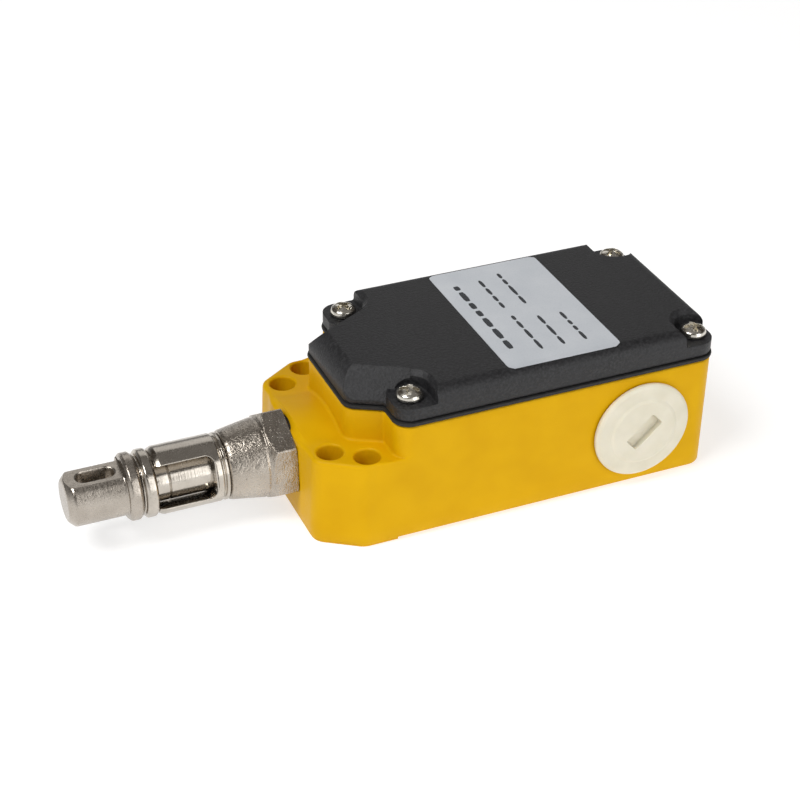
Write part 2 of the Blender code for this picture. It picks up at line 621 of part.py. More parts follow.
def make_carriage(carrier_empty):
    """The sliding carrier, worked by the rod's end, and the two bridges in its slots."""
    front, back = CARRIER_X
    carrier = join(box("contact_carrier", CARRIER_X, (-5, 5), (AXIS_Z - 5, AXIS_Z + 4.8)),
                   rod("stem", STEM_R, (ROD_END_X[1] + GAP, 0, AXIS_Z), (front + 2, 0, AXIS_Z), 20),
                   rod("spigot", SPIGOT_R, (back - 2, 0, AXIS_Z), (back + 4, 0, AXIS_Z), 16))
    slots = [box("slot", (x - GAP, x + BRIDGE_T + GAP), (-9, 9), (AXIS_Z - 2.3, AXIS_Z + 2.3))
             for x in BRIDGE_X]
    ride(add("contact_carrier", cut(carrier, *slots), PARTS, WHITE), carrier_empty)
    for name, x in zip(("bridge_break", "bridge_make"), BRIDGE_X):
        strip = box(name, (x, x + BRIDGE_T), (-8.4, 8.4), (AXIS_Z - 2.0, AXIS_Z + 2.0))
        ride(add(name, strip, PARTS, BRASS), carrier_empty)


def make_terminals():
    """Fixed contacts: the front pair touches its bridge at rest, the other pair at full travel."""
    top = TRAY_Z[1]
    break_x = BRIDGE_X[0] + BRIDGE_T + GAP
    make_x = BRIDGE_X[1] - TRAVEL - GAP - TERMINAL_T
    for number, (x, y) in enumerate(TERMINALS, 1):
        side = 1 if y > 0 else -1
        tongue_x = break_x if x == TERMINALS[0][0] else make_x
        tongue = box("tongue", (tongue_x, tongue_x + TERMINAL_T), sorted((side * 6.0, side * 9.0)),
                     (11.0, top + 1.0))
        strip = box("strip", (x - 3.8, x + 3.8), sorted((side * 6.0, side * 16.4)), (top + GAP, top + 1.3))
        piece = cut(join(strip, tongue), rod("hole", M3_R + GAP, (x, y, top - 2), (x, y, top + 4), 16))
        add(f"terminal_{number}", piece, PARTS, BRASS)
        screw_piece(f"terminal_screw_{number}", x, y, top + 1.3, M3_HEAD_R, M3_HEAD_H, M3_R, 8.5,
                    0.4 * number)


def make_earth():
    x, y = EARTH
    top = FLOOR_Z + EARTH_BOSS_H
    washer = turned("earth_washer", tube(M4_R + GAP, 4.4, 0, 1.0), (x, y, top + GAP), (0, 0, 1), 24)
    add("earth_washer", washer, PARTS, BRASS, smooth=True)
    screw_piece("earth_screw", x, y, top + GAP + 1.0, M4_HEAD_R, M4_HEAD_H, M4_R, 7.0, 0.5)


def joint_empty(name, place):
    empty = bpy.data.objects.new(name, None)
    empty.location = Vector(place) * MM
    PARTS.objects.link(empty)
    bpy.context.view_layer.update()
    return empty


clear_scene()
PARTS = new_collection(COLLECTION)
CUTTERS = new_collection("cutters")

YELLOW = material("case_yellow", (0.80, 0.49, 0.008), 0.42)
BLACK = material("cover_black", (0.030, 0.030, 0.033), 0.5)
RUBBER = material("rubber", (0.015, 0.015, 0.015), 0.75)
SILVER = material("nameplate", (0.55, 0.58, 0.62), 0.35, 0.4)
NYLON = material("nylon", (0.80, 0.78, 0.72), 0.45)
NICKEL = material("nickel", (0.60, 0.57, 0.52), 0.28, 1.0)
STEEL = material("zinc_steel", (0.66, 0.65, 0.63), 0.25, 1.0)
SPRING = material("spring_steel", (0.42, 0.42, 0.43), 0.3, 1.0)
BRASS = material("brass", (0.70, 0.47, 0.17), 0.3, 1.0)
PHENOLIC = material("phenolic", (0.05, 0.028, 0.018), 0.4)
WHITE = material("carrier_white", (0.75, 0.74, 0.70), 0.45)
CLEAR = material("contact_cover", (0.55, 0.58, 0.60), 0.15)

make_housing()
make_gasket()
make_cover()
make_nameplate()
for index, (screw_x, screw_y) in enumerate(screw_places(), 1):
    screw_piece(f"cover_screw_{index}", screw_x, screw_y, LEDGE_Z, M4_HEAD_R, M4_HEAD_H, M4_R, 15.0,
                radians(20 + 37 * index))
make_cable_entry()
make_gland()
make_window_sleeve()
make_pull_assembly(joint_empty("pull_axis", (0, 0, AXIS_Z)))
coil("return_spring", *SPRING_X, 6.2, 0.7, 8)
make_tray()
make_carriage(joint_empty("carrier_axis", (60, 0, AXIS_Z)))
make_terminals()
coil("carrier_spring", CARRIER_X[1] + GAP, TRAY[1] - 3 - GAP, 2.9, 0.35, 8)
make_earth()
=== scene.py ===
"""Rope-pull emergency stop switch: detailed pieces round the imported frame.

Sizes are in millimetres until a mesh is made.  X runs along the pull rod, the cable entry is on the -Y
side and the cover is on top, as in the CAD.
"""
from math import cos, pi, radians, sin, sqrt

import bmesh
import bpy
import numpy as np
from mathutils import Matrix, Vector


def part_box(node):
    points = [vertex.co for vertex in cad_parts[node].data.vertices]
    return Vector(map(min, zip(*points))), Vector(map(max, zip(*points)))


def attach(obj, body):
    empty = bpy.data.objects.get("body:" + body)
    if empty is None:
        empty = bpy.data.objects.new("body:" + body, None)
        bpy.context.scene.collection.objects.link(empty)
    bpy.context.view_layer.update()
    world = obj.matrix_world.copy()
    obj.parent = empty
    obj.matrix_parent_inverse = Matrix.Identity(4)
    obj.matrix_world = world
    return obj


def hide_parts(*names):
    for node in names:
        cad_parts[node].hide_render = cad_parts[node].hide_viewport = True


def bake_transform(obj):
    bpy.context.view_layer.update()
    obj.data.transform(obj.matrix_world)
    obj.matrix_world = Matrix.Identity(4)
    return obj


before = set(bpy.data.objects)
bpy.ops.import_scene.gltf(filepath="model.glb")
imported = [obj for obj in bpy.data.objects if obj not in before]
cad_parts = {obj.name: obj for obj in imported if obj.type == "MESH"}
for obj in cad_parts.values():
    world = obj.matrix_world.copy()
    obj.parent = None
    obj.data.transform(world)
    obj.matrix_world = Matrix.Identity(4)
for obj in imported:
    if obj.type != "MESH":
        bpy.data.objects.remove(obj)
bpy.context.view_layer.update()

MM = 0.001
SCENE = bpy.context.scene


def middle(node, axis):
    """Middle of a CAD node's box along one axis, in millimetres."""
    low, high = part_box(node)
    return (low[axis] + high[axis]) / 2 / MM


def limits(node, axis):
    """Both ends of a CAD node's box along one axis, in millimetres."""
    low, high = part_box(node)
    return low[axis] / MM, high[axis] / MM


AXIS_Z = middle("window_sleeve", 2)     # height of the pull rod's axis
HALF_W = limits("housing", 1)[1]        # half the width of the case
X_FRONT, X_END = limits("housing", 0)
RIM_Z = limits("housing", 2)[1]
COVER_Z = limits("cover", 2)
EAR_Z = 25.0
PAD_END = 10.6                          # where the front pad ends, behind the ears
CROWN = 2.0                             # rise of the nose over the ears
EAR_HOLES = ((-4.3, 17.5), (3.7, 22.9))
EAR_HOLE_R = 3.4
LEDGE_Z = 39.7                          # floor of the screw pockets
POCKET_R = 5.3
PLUG_X, PLUG_Z = middle("cable_entry_plug", 0), middle("cable_entry_plug", 2)
SCREWS = [(middle(f"cover_screw_{k}", 0), middle(f"cover_screw_{k}", 1)) for k in range(1, 5)]
SHOULDER = (3.7, 3.2)                   # rounded edge along the cover's sides: how far in, how far down
BROW = (4.3, 5.6)                       # the softer bevel over its narrow end
BROW_POWER = 2 / 1.45                   # power of the bevel's superellipse
FACET_RUN, FACET_DROP = 6.2, 6.5        # slope of the slanted faces beside the narrow end
LABEL_X = (41.2, 73.6)
LABEL_Y = (-26.1, 25.2)
HEX_FLATS, HEX_TURN = 22.0, radians(-5)
HEX_CUT = 0.15                          # how much is turned off the hexagon's corners
HEX_X = (-17.0, -10.55)
GLAND_END = -27.9
SLEEVE_X = (-46.6, GLAND_END)
SLEEVE_R = 9.0
WINDOW_TURN = radians(-16)
SCRIBE_X = -43.0                        # the mark on the rod
RING_X = (-50.5, -46.9)                 # the second ring, behind the eye
EYE_X = (-69.5, -50.8)


# =================================================================================================
# materials
# =================================================================================================
def tint(code):
    """Linear RGBA of an sRGB hex colour."""
    parts = [int(code[k:k + 2], 16) / 255 for k in (1, 3, 5)]
    return (*[c / 12.92 if c <= 0.04045 else ((c + 0.055) / 1.055) ** 2.4 for c in parts], 1.0)


def put(tree, kind, links=(), **settings):
    """One node: settings fill its inputs or its properties, links join (socket, input name) pairs."""
    node = tree.nodes.new("ShaderNode" + kind)
    for key, value in settings.items():
        if hasattr(node, key):
            setattr(node, key, value)
        else:
            node.inputs[key.replace("_", " ")].default_value = value
    for source, target in links:
        tree.links.new(source, node.inputs[target])
    return node


def surface(name, **values):
    """A material with its Principled shader, and Object coordinates in millimetres."""
    made = bpy.data.materials.new(name)
    made.use_nodes = True
    tree = made.node_tree
    shader = tree.nodes["Principled BSDF"]
    for key, value in values.items():
        shader.inputs[key.replace("_", " ")].default_value = value
    place = put(tree, "TexCoord").outputs["Object"]
    scaled = put(tree, "VectorMath", [(place, 0)], operation="SCALE", Scale=1 / MM)
    return made, tree, shader, scaled.outputs[0]


def grain(tree, place, size, detail=2.0, rough=0.5):
    """Noise whose lumps are about size millimetres across."""
    made = put(tree, "TexNoise", [(place, "Vector")], Scale=1 / size, Detail=detail, Roughness=rough)
    return made.outputs[0]


def ramp(tree, value, low, high, out_low=0.0, out_high=1.0):
    """Value stretched from low..high to out_low..out_high."""
    made = put(tree, "MapRange", [(value, "Value")])
    for key, number in (("From Min", low), ("From Max", high), ("To Min", out_low), ("To Max", out_high)):
        made.inputs[key].default_value = number
    return made.outputs[0]


def blend_colours(tree, factor, one, two):
    """Mix of two colours; each is a hex code or a socket."""
    mix = put(tree, "Mix", [(factor, 0)], data_type="RGBA")
    for socket, colour in ((mix.inputs[6], one), (mix.inputs[7], two)):
        if isinstance(colour, str):
            socket.default_value = tint(colour)
        else:
            tree.links.new(colour, socket)
    return mix.outputs[2]


def bumps(tree, shader, layers, edge=0.0):
    """Bump layers (height socket, depth in mm) one over the other, over edges softened by edge mm."""
    normal = None
    if edge:
        normal = put(tree, "Bevel", samples=4, Radius=edge * MM).outputs[0]
    for height, depth in layers:
        links = [(height, "Height")] + ([(normal, "Normal")] if normal else [])
        normal = put(tree, "Bump", links, Distance=depth * MM, Strength=1.0).outputs[0]
    tree.links.new(normal, shader.inputs["Normal"])


def make_enamel():
    """Semi-gloss yellow enamel sprayed on die-cast alloy: slight orange peel, deeper where it pools."""
    made, tree, shader, place = surface("yellow_enamel", IOR=1.5, Roughness=0.42, Specular_IOR_Level=0.08)
    cloud = grain(tree, place, 14.0)
    fine = grain(tree, place, 0.7, 3.0)
    colour = blend_colours(tree, ramp(tree, cloud, 0.35, 0.65), "#D6A303", "#DDAB06")
    colour = blend_colours(tree, ramp(tree, fine, 0.62, 0.78, 0.0, 0.35), colour, "#D69E05")
    tree.links.new(colour, shader.inputs["Base Color"])
    tree.links.new(ramp(tree, fine, 0.3, 0.7, 0.32, 0.46), shader.inputs["Roughness"])
    bumps(tree, shader, [(grain(tree, place, 2.6), 0.05), (fine, 0.02)], 0.35)
    return made


def make_cover_plastic():
    """Black ABS from a spark-eroded mould: fine pitted texture that greys the highlights."""
    made, tree, shader, place = surface("black_textured_abs", IOR=1.53, Roughness=0.5,
                                        Specular_IOR_Level=0.4)
    pits = grain(tree, place, 0.7, 3.0, 0.65)
    cloud = grain(tree, place, 9.0)
    colour = blend_colours(tree, ramp(tree, pits, 0.42, 0.66), "#0F0F11", "#2F2F31")
    colour = blend_colours(tree, ramp(tree, cloud, 0.4, 0.7, 0.0, 0.4), colour, "#1F1F21")
    tree.links.new(colour, shader.inputs["Base Color"])
    tree.links.new(ramp(tree, pits, 0.3, 0.7, 0.44, 0.6), shader.inputs["Roughness"])
    bumps(tree, shader, [(pits, 0.15)], 0.3)
    return made


def make_rubber():
    """Moulded black nitrile rubber: dull, slightly dusty."""
    made, tree, shader, place = surface("black_rubber", IOR=1.52, Roughness=0.7)
    dust = grain(tree, place, 0.8, 3.0)
    tree.links.new(blend_colours(tree, ramp(tree, dust, 0.4, 0.75), "#131313", "#242322"),
                   shader.inputs["Base Color"])
    bumps(tree, shader, [(dust, 0.04)])
    return made


def make_foil():
    """Printed silver foil label: satin, with a cool cast and the slight waves of a stuck-down sheet."""
    made, tree, shader, place = surface("silver_foil", IOR=1.5, Roughness=0.42, Metallic=0.25)
    waves_and_painted_sheen = grain(tree, place, 11.0)
    fibre = grain(tree, place, 0.4, 2.0)
    # The colour is lighter and darker in clouds that follow the waves' noise: painted sheen.
    colour = blend_colours(tree, ramp(tree, waves_and_painted_sheen, 0.3, 0.7), "#CACFD5", "#D4D8DD")
    colour = blend_colours(tree, ramp(tree, fibre, 0.5, 0.8, 0.0, 0.3), colour, "#B2B9C1")
    tree.links.new(colour, shader.inputs["Base Color"])
    bumps(tree, shader, [(waves_and_painted_sheen, 0.06), (fibre, 0.008)])
    return made


def make_ink():
    """Black screen-printed ink on the label: dull, slightly thin at its edges."""
    made, tree, shader, place = surface("black_ink", IOR=1.5, Roughness=0.55)
    thin = grain(tree, place, 0.35, 2.0)
    tree.links.new(blend_colours(tree, ramp(tree, thin, 0.4, 0.8), "#1E2024", "#4A4E55"),
                   shader.inputs["Base Color"])
    return made


def make_nylon():
    """Moulded natural nylon: off-white, waxy, a little light passes under the surface."""
    made, tree, shader, place = surface("natural_nylon", IOR=1.53, Roughness=0.42, Subsurface_Weight=0.15,
                                        Subsurface_Scale=1.5 * MM)
    shader.inputs["Subsurface Radius"].default_value = (1.0, 0.8, 0.5)
    cloud = grain(tree, place, 6.0)
    fine = grain(tree, place, 0.5)
    tree.links.new(blend_colours(tree, ramp(tree, cloud, 0.35, 0.7), "#E2DCC9", "#DAD4BF"),
                   shader.inputs["Base Color"])
    tree.links.new(ramp(tree, fine, 0.3, 0.7, 0.36, 0.5), shader.inputs["Roughness"])
    bumps(tree, shader, [(fine, 0.015)], 0.25)
    return made


def make_nickel(name, colours, roughness, cast=0.0, lines=0.0, edge=0.2):
    """Satin nickel plate: cast is the depth of the casting's speckle, lines that of the turning marks."""
    made, tree, shader, place = surface(name, Metallic=1.0, Roughness=roughness)
    speckle = grain(tree, place, 0.5, 3.0, 0.6)
    stain = grain(tree, place, 5.0, 2.0)
    colour = blend_colours(tree, ramp(tree, stain, 0.35, 0.68), *colours[:2])
    colour = blend_colours(tree, ramp(tree, speckle, 0.6, 0.75, 0.0, 0.6), colour, colours[2])
    tree.links.new(colour, shader.inputs["Base Color"])
    tree.links.new(ramp(tree, speckle, 0.3, 0.7, roughness - 0.08, roughness + 0.1),
                   shader.inputs["Roughness"])
    layers = []
    if cast:
        layers += [(speckle, cast), (grain(tree, place, 2.2, 2.0), cast * 1.5)]
    if lines:
        squeezed = put(tree, "VectorMath", [(place, 0)], operation="MULTIPLY")
        squeezed.inputs[1].default_value = (3.0, 0.05, 0.05)
        layers.append((grain(tree, squeezed.outputs[0], 1.0, 2.0), lines))
    bumps(tree, shader, layers, edge)
    return made


def make_plain_metal(name, one, two, roughness, size=0.6, depth=0.01):
    """Plated or drawn metal: faint colour clouds and fine scratches of a given size."""
    made, tree, shader, place = surface(name, Metallic=1.0, Roughness=roughness)
    fine = grain(tree, place, size, 3.0)
    tree.links.new(blend_colours(tree, ramp(tree, fine, 0.35, 0.7), one, two), shader.inputs["Base Color"])
    tree.links.new(ramp(tree, fine, 0.3, 0.7, roughness - 0.06, roughness + 0.08),
                   shader.inputs["Roughness"])
    bumps(tree, shader, [(fine, depth)], 0.12)
    return made


def make_plain_plastic(name, one, two, roughness, size=0.8):
    """Moulded plastic: faint mottling and a fine mould texture."""
    made, tree, shader, place = surface(name, IOR=1.5, Roughness=roughness)
    fine = grain(tree, place, size, 3.0)
    tree.links.new(blend_colours(tree, ramp(tree, fine, 0.35, 0.7), one, two), shader.inputs["Base Color"])
    bumps(tree, shader, [(fine, 0.02)], 0.15)
    return made


ENAMEL = make_enamel()
BLACK_ABS = make_cover_plastic()
RUBBER = make_rubber()
FOIL = make_foil()
INK = make_ink()
NYLON = make_nylon()
CAST_NICKEL = make_nickel("cast_nickel_plate", ("#ABA297", "#BAB2A7", "#655C51"), 0.25, cast=0.13)
SATIN_NICKEL = make_nickel("tumbled_nickel_plate", ("#ADA59B", "#B9B1A7", "#857C71"), 0.28, cast=0.035)
TURNED_NICKEL = make_nickel("turned_nickel_plate", ("#B8B1A7", "#C5BEB4", "#8C8276"), 0.2, lines=0.02)
ZINC = make_plain_metal("bright_zinc_plate", "#D2CDC2", "#E2DED4", 0.2)
SPRING_STEEL = make_plain_metal("spring_steel", "#8E8F92", "#A3A4A6", 0.28)
BRASS = make_plain_metal("drawn_brass", "#C79E52", "#D8B26A", 0.28)
PHENOLIC = make_plain_plastic("brown_phenolic", "#2E1C14", "#3A251B", 0.38, 1.2)
PALE_LID = make_plain_plastic("pale_polycarbonate", "#C4CBD0", "#D2D8DC", 0.18, 2.0)
WHITE_POM = make_plain_plastic("white_acetal", "#DEDBD3", "#E8E6DF", 0.4)


# =================================================================================================
# meshes
# =================================================================================================
def built(name, verts, faces, body, material, slot, nodes=(), sharp=32):
    """A closed mesh from millimetre points, turned outwards, on its body, with its finish."""
    mesh = bpy.data.meshes.new(name)
    mesh.from_pydata((np.asarray(verts) * MM).tolist(), [], faces)
    tidy(mesh)
    return finished(bpy.data.objects.new(name, mesh), body, material, nodes, sharp)


def tidy(mesh):
    """Merge doubles, drop empty faces and turn every face outwards."""
    work = bmesh.new()
    work.from_mesh(mesh)
    bmesh.ops.remove_doubles(work, verts=work.verts, dist=1e-6)
    bmesh.ops.dissolve_degenerate(work, dist=1e-6, edges=work.edges)
    bmesh.ops.recalc_face_normals(work, faces=work.faces)
    if work.calc_volume(signed=True) < 0:
        bmesh.ops.reverse_faces(work, faces=work.faces)
    work.to_mesh(mesh)
    work.free()


def finished(obj, body, material, nodes=(), sharp=32):
    """Link and shade a piece, give it its finish, put it on its body and hide the CAD nodes it replaces."""
    if obj.name not in SCENE.collection.objects:
        SCENE.collection.objects.link(obj)
    obj.data.materials.clear()
    obj.data.materials.append(material)
    obj.data.shade_smooth()
    obj.data.set_sharp_from_angle(angle=radians(sharp))
    if body:
        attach(obj, body)
    if nodes:
        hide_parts(*nodes)
    return obj


def loft(rings, closed=False):
    """Points and faces of a surface through rings (rows, around, 3): every row joins the next one and
    closes on itself.  Closed also joins the last row to the first; otherwise both ends get a flat cap."""
    rings = np.asarray(rings, float)
    rows, around = rings.shape[:2]
    steps = rows if closed else rows - 1
    a = np.arange(steps)[:, None] * around + np.arange(around)[None, :]
    b = (np.arange(steps)[:, None] * around + (np.arange(around)[None, :] + 1) % around)
    up = rows * around
    quads = np.stack([a, b, (b + around) % up, (a + around) % up], -1).reshape(-1, 4).tolist()
    if not closed:
        quads.append(list(range(around))[::-1])
        quads.append(list(range((rows - 1) * around, rows * around)))
    return rings.reshape(-1, 3), quads


def cutter(verts, faces):
    """A solid that only cuts."""
    mesh = bpy.data.meshes.new("cutter")
    mesh.from_pydata((np.asarray(verts) * MM).tolist(), [], faces)
    tidy(mesh)
    obj = bpy.data.objects.new("cutter", mesh)
    SCENE.collection.objects.link(obj)
    return obj


def carved(verts, faces, cuts=(), adds=()):
    """The exact union of a solid with the added ones, less the cuts, as a new mesh."""
    base = cutter(verts, faces)
    tools = [(cutter(*each), "UNION") for each in adds]
    tools += [(cutter(*each), "DIFFERENCE") for each in cuts]
    for tool, operation in tools:
        step = base.modifiers.new("carve", "BOOLEAN")
        step.operation, step.object, step.solver = operation, tool, "EXACT"
    bpy.context.view_layer.update()
    mesh = bpy.data.meshes.new_from_object(base.evaluated_get(bpy.context.evaluated_depsgraph_get()))
    for obj in [base] + [tool for tool, _ in tools]:
        bpy.data.objects.remove(obj, do_unlink=True)
    tidy(mesh)
    return mesh


def piece(name, mesh, body, material, nodes=(), sharp=32):
    """A piece from a ready mesh."""
    mesh.name = name
    return finished(bpy.data.objects.new(name, mesh), body, material, nodes, sharp)


def arcs(corners, tangents, steps):
    """(corner, step, 2) points: each corner of a closed outline becomes a rational quadratic curve between
    the points a tangent length away.  Its weight, the cosine of half the turn, makes it a circle's arc."""
    c = np.asarray(corners, float)
    back, ahead = np.roll(c, 1, 0) - c, np.roll(c, -1, 0) - c
    back /= np.linalg.norm(back, axis=1)[:, None]
    ahead /= np.linalg.norm(ahead, axis=1)[:, None]
    weight = np.sqrt(np.clip((1 - (back * ahead).sum(1)) / 2, 0, 1))[:, None, None]
    t = np.linspace(0, 1, steps + 1)[None, :, None]
    reach = np.asarray(tangents, float)[:, None, None]
    start, mid, stop = c[:, None] + back[:, None] * reach, c[:, None], c[:, None] + ahead[:, None] * reach
    top = (1 - t) ** 2 * start + 2 * weight * t * (1 - t) * mid + t ** 2 * stop
    return top / ((1 - t) ** 2 + 2 * weight * t * (1 - t) + t ** 2)


def tangent_lengths(corners, radii):
    """Tangent length of each corner's arc: its radius times the tangent of half the turn."""
    c = np.asarray(corners, float)
    back, ahead = np.roll(c, 1, 0) - c, np.roll(c, -1, 0) - c
    dot = (back * ahead).sum(1) / np.linalg.norm(back, axis=1) / np.linalg.norm(ahead, axis=1)
    half_turn = (pi - np.arccos(np.clip(dot, -1, 1))) / 2
    return np.asarray(radii, float) * np.tan(half_turn)


def inset_corners(corners, inset):
    """Corners of the outline moved inwards: along the mitre of the two neighbouring sides."""
    c = np.asarray(corners, float)
    edge = np.roll(c, -1, 0) - c
    edge /= np.linalg.norm(edge, axis=1)[:, None]
    normal = np.stack([-edge[:, 1], edge[:, 0]], 1)
    before = np.roll(normal, 1, 0)
    return c + inset * (before + normal) / (1 + (before * normal).sum(1))[:, None]


def both_sides(half):
    """Near half of an outline, front to back, and its mirror image."""
    return half + [(x, -y) for x, y in reversed(half)]


ARC_STEPS = 14
SIDE_STEPS = (12, 6, 120, 72, 120, 6, 12, 26)
BODY_CORNERS = both_sides([(1.4, -14.0), (10.1, -18.6), (10.1, -HALF_W), (X_END, -HALF_W)])
BODY_RADII = np.array([4.0, 1.4, 4.5, 5.0, 5.0, 4.5, 1.4, 4.0])
BODY_BEND = np.array([1, -1, 1, 1, 1, 1, -1, 1])
LUG_REACH = 5.8
BASE_CORNERS = both_sides([(X_FRONT, -20.7), (1.0, -HALF_W), (14.6 - LUG_REACH, -HALF_W),
                           (X_END, -HALF_W)])
BASE_RADII = np.array([5.0, 6.0, 0, 5.0, 5.0, 0, 6.0, 5.0])


def walked(arc_points):
    """One closed loop from the corner arcs: the straight sides between them get evenly spread points."""
    parts = []
    for k, count in enumerate(SIDE_STEPS):
        parts.append(arc_points[k])
        start, stop = arc_points[k][-1], arc_points[(k + 1) % len(arc_points)][0]
        share = (np.arange(1, count + 1) / (count + 1))[:, None]
        parts.append(start + (stop - start) * share)
    return np.concatenate(parts)


def body_outline(inset=0.0):
    """Outline of the raised body and the cover: corners mitred in, outer radii smaller, inner larger."""
    corners = inset_corners(BODY_CORNERS, inset)
    radii = np.maximum(BODY_RADII - BODY_BEND * inset, 0.25)
    return walked(arcs(corners, tangent_lengths(corners, radii), ARC_STEPS))


def base_outline(inset=0.0):
    """Outline of the lower case with its ears, point for point with the body's outline."""
    corners = inset_corners(BASE_CORNERS, inset)
    reach = tangent_lengths(corners, np.maximum(BASE_RADII - inset, 0.3))
    reach[[2, 5]] = LUG_REACH
    return walked(arcs(corners, reach, ARC_STEPS))


def level(outline, z):
    """Outline points with a height (a number, or one per point)."""
    return np.column_stack([outline, np.broadcast_to(z, len(outline))])


def smooth(value):
    """Smoothstep of 0..1."""
    v = np.clip(value, 0, 1)
    return v * v * (3 - 2 * v)


def soft_profile(points, radii, steps=5):
    """Open or closed profile with arcs at its corners; open ends keep their points."""
    pts = np.asarray(points, float)
    inner = arcs(pts, tangent_lengths(pts, radii), steps).reshape(-1, 2)
    keep = np.r_[True, np.linalg.norm(np.diff(inner, axis=0), axis=1) > 1e-5]
    return inner[keep]


def turned(profile, steps=128, centre=(0.0, AXIS_Z), along="X"):
    """(radius, station) profile turned about X at (y, z), about Z at (x, y), or about -Y at (x, z).  Rings
    run along the profile; radius 0 gives a pole."""
    profile = np.asarray(profile, float)
    angle = np.linspace(0, 2 * pi, steps, endpoint=False)
    r, s = profile[:, :1], np.repeat(profile[:, 1:], steps, 1)
    u, v = centre[0] + r * np.cos(angle), centre[1] + r * np.sin(angle)
    if along == "X":
        return np.stack([s, u, v], -1)
    if along == "Z":
        return np.stack([u, v, s], -1)
    return np.stack([u, -s, v], -1)


def ring_solid(profile, steps=128, closed=False, **where):
    """Turned solid: a closed profile makes a ring, an open one is capped."""
    return loft(turned(profile, steps, **where), closed)


# =================================================================================================
# case
# =================================================================================================
def nose_rise(x, y):
    """Crown of the nose: a parabola across, raised to a power a little over one to ease its edges.  It is
    wider at the front, where it flares into the front face."""
    width = 11.3 + 3.8 * np.exp(-(x - X_FRONT) / 2.2)
    share = np.clip(1 - (y / width) ** 2, 0, 1)
    return CROWN * share ** 1.15


def make_housing():
    """Rings from the underside up the wall, over the ear's edge, across the ears and the nose, up the
    body, over the rim and down inside.  Where the ears end, the same rings are only steps of the plain
    wall.  The mounting pads and the screws' bosses are joined on, and the holes are cut last."""
    base, body = base_outline(), body_outline()
    apart = np.linalg.norm(base[:, None] - body[None], axis=2)
    gap = np.minimum(apart.min(0), apart.min(1))
    ears, room = smooth(gap / 1.4), np.clip(gap / 3.6, 0, 1)
    aside = smooth((np.abs(base[:, 1]) - 9.0) / 6.0)
    draft, edge, foot = 0.9 * aside * room, (0.5 + 0.5 * aside) * room, 0.8 * room
    inwards, outwards = base_outline(1.0) - base, body_outline(-1.0) - body
    rows = []

    def row(outline, drift, amount, z_ear, z_wall):
        """Ring moved along its drift by an amount per point, at the ear's height or the plain wall's."""
        rows.append(level(outline + drift * amount[:, None], ears * z_ear + (1 - ears) * z_wall))

    for z, inset in ((0.9, 0.9), (1.0, 0.45), (1.15, 0.15), (1.5, 0.0)):
        rows.append(level(base_outline(inset), z))
    for z in (5.0, 11.0, 17.0, 22.0):
        row(base, inwards, draft * (z - 1) / (EAR_Z - 1), z, z)
    turns = np.linspace(0, pi / 2, 8)
    for k, turn in enumerate(turns):
        row(base, inwards, draft + edge * (1 - cos(turn)), EAR_Z - edge * (1 - sin(turn)), 23.5 + k * 0.1)
    start = base + inwards * (draft + edge)[:, None]
    stop = body + outwards * foot[:, None]
    for share in np.linspace(0, 1, 30)[1:]:
        flat = start + (stop - start) * share
        z = EAR_Z + nose_rise(flat[:, 0], flat[:, 1]) * smooth(share * 9)
        rows.append(level(flat, ears * z + (1 - ears) * (24.2 + 1.2 * share)))
    root = EAR_Z + nose_rise(stop[:, 0], stop[:, 1])
    for k, turn in enumerate(turns[1:]):
        row(body, outwards, foot * (1 - sin(turn)), root + foot * (1 - cos(turn)), 25.5 + 0.1 * k)
    for z in (29.0, 31.5, RIM_Z - 0.5):
        rows.append(level(body, z))
    for turn in np.linspace(0, pi / 2, 4)[1:]:
        rows.append(level(body_outline(0.5 * (1 - cos(turn))), RIM_Z - 0.5 + 0.5 * sin(turn)))
    for inset, z in ((3.0, RIM_Z), (3.2, RIM_Z - 0.2), (3.2, 20.0), (3.2, 6.0), (3.5, 5.3), (4.0, 5.0)):
        rows.append(level(body_outline(inset), z))

    under = 0.3
    front_pad = [level(pad_outline(0.6 + under * (1 - sin(turn))), under - under * cos(turn))
                 for turn in turns[::3]]
    front_pad.append(level(pad_outline(0.6), 2.0))
    rear_pad = slab((86, 98), (-22, 22), (0.0, 2.0))
    boss_top = RIM_Z - 0.4
    bosses = [ring_solid([(5.0, 4.0), (5.0, boss_top)], 50, centre=(x, y), along="Z") for x, y in SCREWS]
    adds = [loft(front_pad), rear_pad] + bosses
    cuts = [ear_hole(x, side * y) for x, y in EAR_HOLES for side in (-1, 1)]
    cuts += [bore((x, y), "Z", 2.3, 22.0, RIM_Z + 2) for x, y in SCREWS]
    gland_seat, entry_seat = X_FRONT + 1.6, HALF_W - 1.5
    cuts.append(ring_solid([(10.2, X_FRONT - 3), (10.2, gland_seat), (8.3, gland_seat), (8.3, 12.0)], 70))
    cuts.append(ring_solid([(10.3, 20.0), (10.3, entry_seat), (12.8, entry_seat), (12.8, HALF_W + 4)], 70,
                           centre=(PLUG_X, PLUG_Z), along="Y"))
    return piece("case_shell", carved(*loft(rows), cuts, adds), "case", ENAMEL, ["housing"], 38)


def pad_outline(inset):
    """Front pad: slanted front corners like the base's, cut off square behind the ears."""
    corners = inset_corners(BASE_CORNERS, inset)
    side, slant = np.abs(corners[:, 1]).max(), corners[0]
    half = [(slant[0], slant[1]), (corners[1][0], -side), (PAD_END, -side)]
    flat = np.array(half + [(x, -y) for x, y in half[::-1]])
    radii = np.maximum(np.array([5.1, 6.2, 0, 0, 6.2, 5.1]) - inset, 0.25)
    return arcs(flat, tangent_lengths(flat, radii), 17).reshape(-1, 2)


def slab(x, y, z, soft=0.0):
    """A block from its limits."""
    flat = np.array([(x[0], y[0]), (x[1], y[0]), (x[1], y[1]), (x[0], y[1])], float)
    if soft:
        flat = arcs(flat, [soft] * 4, 6).reshape(-1, 2)
    return loft([level(flat, z[0]), level(flat, z[1])])


